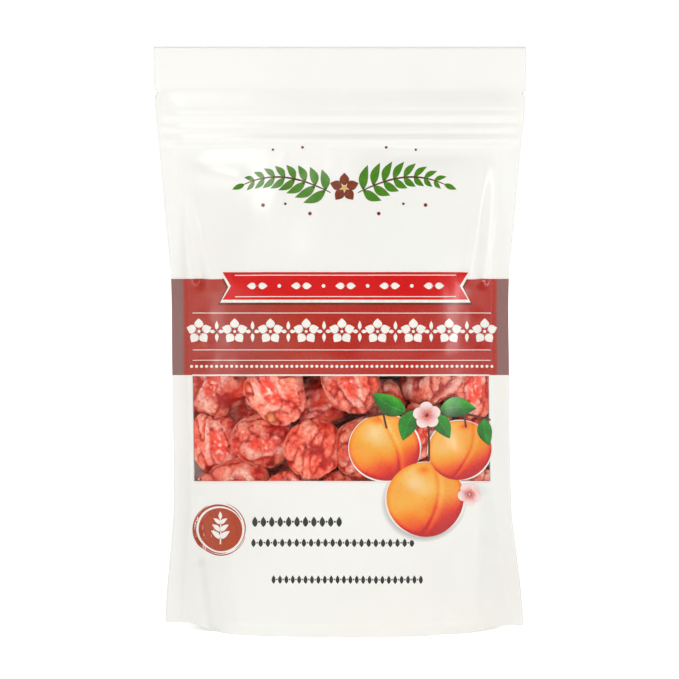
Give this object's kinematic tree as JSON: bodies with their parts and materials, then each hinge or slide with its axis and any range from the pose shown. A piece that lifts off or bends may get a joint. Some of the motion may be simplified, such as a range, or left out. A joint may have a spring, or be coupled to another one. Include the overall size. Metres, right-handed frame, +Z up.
{
  "type": "stand-up pouch of dried apricots",
  "caption": "Filled stand-up film pouch with side seals, folded bottom gusset, tear notches, press-to-close zip and a clear window onto loose dried apricots.",
  "frame": {"origin": "middle of the bounding box's bottom face, on the surface that the pouch stands on", "axes": "+Z up the pouch's height, +X across its width, and the printed front towards -Y"},
  "size_m": [0.15, 0.0424, 0.24],
  "materials": {
    "film": "white heat-sealed laminate with a soft gloss",
    "clear_film": "clear glossy film",
    "zip": "milky polyethylene",
    "dried_fruit": "wrinkled, moist dried fruit flesh"
  },
  "bodies": {
    "root": {"back_panel": "film", "bottom_gusset": "film", "dried_apricot_01": "dried_fruit", "dried_apricot_02": "dried_fruit", "dried_apricot_03": "dried_fruit", "dried_apricot_04": "dried_fruit", "dried_apricot_05": "dried_fruit", "dried_apricot_06": "dried_fruit", "dried_apricot_07": "dried_fruit", "dried_apricot_08": "dried_fruit", "dried_apricot_09": "dried_fruit", "dried_apricot_10": "dried_fruit", "dried_apricot_11": "dried_fruit", "dried_apricot_12": "dried_fruit", "dried_apricot_13": "dried_fruit", "dried_apricot_14": "dried_fruit", "dried_apricot_15": "dried_fruit", "dried_apricot_16": "dried_fruit", "dried_apricot_17": "dried_fruit", "dried_apricot_18": "dried_fruit", "dried_apricot_19": "dried_fruit", "dried_apricot_20": "dried_fruit", "dried_apricot_21": "dried_fruit", "dried_apricot_22": "dried_fruit", "dried_apricot_23": "dried_fruit", "dried_apricot_24": "dried_fruit", "dried_apricot_25": "dried_fruit", "dried_apricot_26": "dried_fruit", "dried_apricot_27": "dried_fruit", "dried_apricot_28": "dried_fruit", "dried_apricot_29": "dried_fruit", "dried_apricot_30": "dried_fruit", "dried_apricot_31": "dried_fruit", "dried_apricot_32": "dried_fruit", "dried_apricot_33": "dried_fruit", "dried_apricot_34": "dried_fruit", "dried_apricot_35": "dried_fruit", "dried_apricot_36": "dried_fruit", "dried_apricot_37": "dried_fruit", "dried_apricot_38": "dried_fruit", "dried_apricot_39": "dried_fruit", "dried_apricot_40": "dried_fruit", "dried_apricot_41": "dried_fruit", "dried_apricot_42": "dried_fruit", "dried_apricot_43": "dried_fruit", "dried_apricot_44": "dried_fruit", "dried_apricot_45": "dried_fruit", "dried_apricot_46": "dried_fruit", "dried_apricot_47": "dried_fruit", "dried_apricot_48": "dried_fruit", "dried_apricot_49": "dried_fruit", "dried_apricot_50": "dried_fruit", "dried_apricot_51": "dried_fruit", "dried_apricot_52": "dried_fruit", "dried_apricot_53": "dried_fruit", "dried_apricot_54": "dried_fruit", "front_panel": "film", "window": "clear_film", "zip_groove": "zip", "zip_rib": "zip"}
  },
  "joints": []
}
